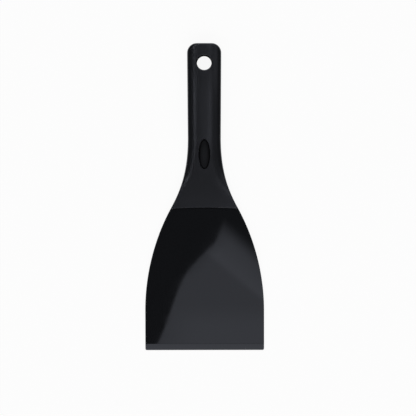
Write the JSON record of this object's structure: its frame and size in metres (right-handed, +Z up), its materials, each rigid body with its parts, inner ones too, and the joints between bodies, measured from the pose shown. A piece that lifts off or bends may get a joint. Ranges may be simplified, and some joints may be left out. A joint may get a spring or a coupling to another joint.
{
  "type": "dough scraper",
  "caption": "Black plastic dough scraper: a wide thin blade with curved sides and a bevelled edge, keyed into a flared satin grip with an oval thumb inlay and a hang hole.",
  "frame": {"origin": "on the table, under the middle of the scraper as it lies on its back", "axes": "+Y from the blade's edge towards the butt of the handle, +Z up out of the front face, +X to the right across the blade"},
  "size_m": [0.101, 0.26, 0.0137],
  "materials": {
    "blade_plastic": "polished black moulding",
    "handle_plastic": "satin black moulding with a fine eroded grain",
    "inlay_rubber": "smooth black soft rubber"
  },
  "bodies": {
    "root": {"blade": "blade_plastic", "handle": "handle_plastic", "thumb_inlay": "inlay_rubber"}
  },
  "joints": []
}
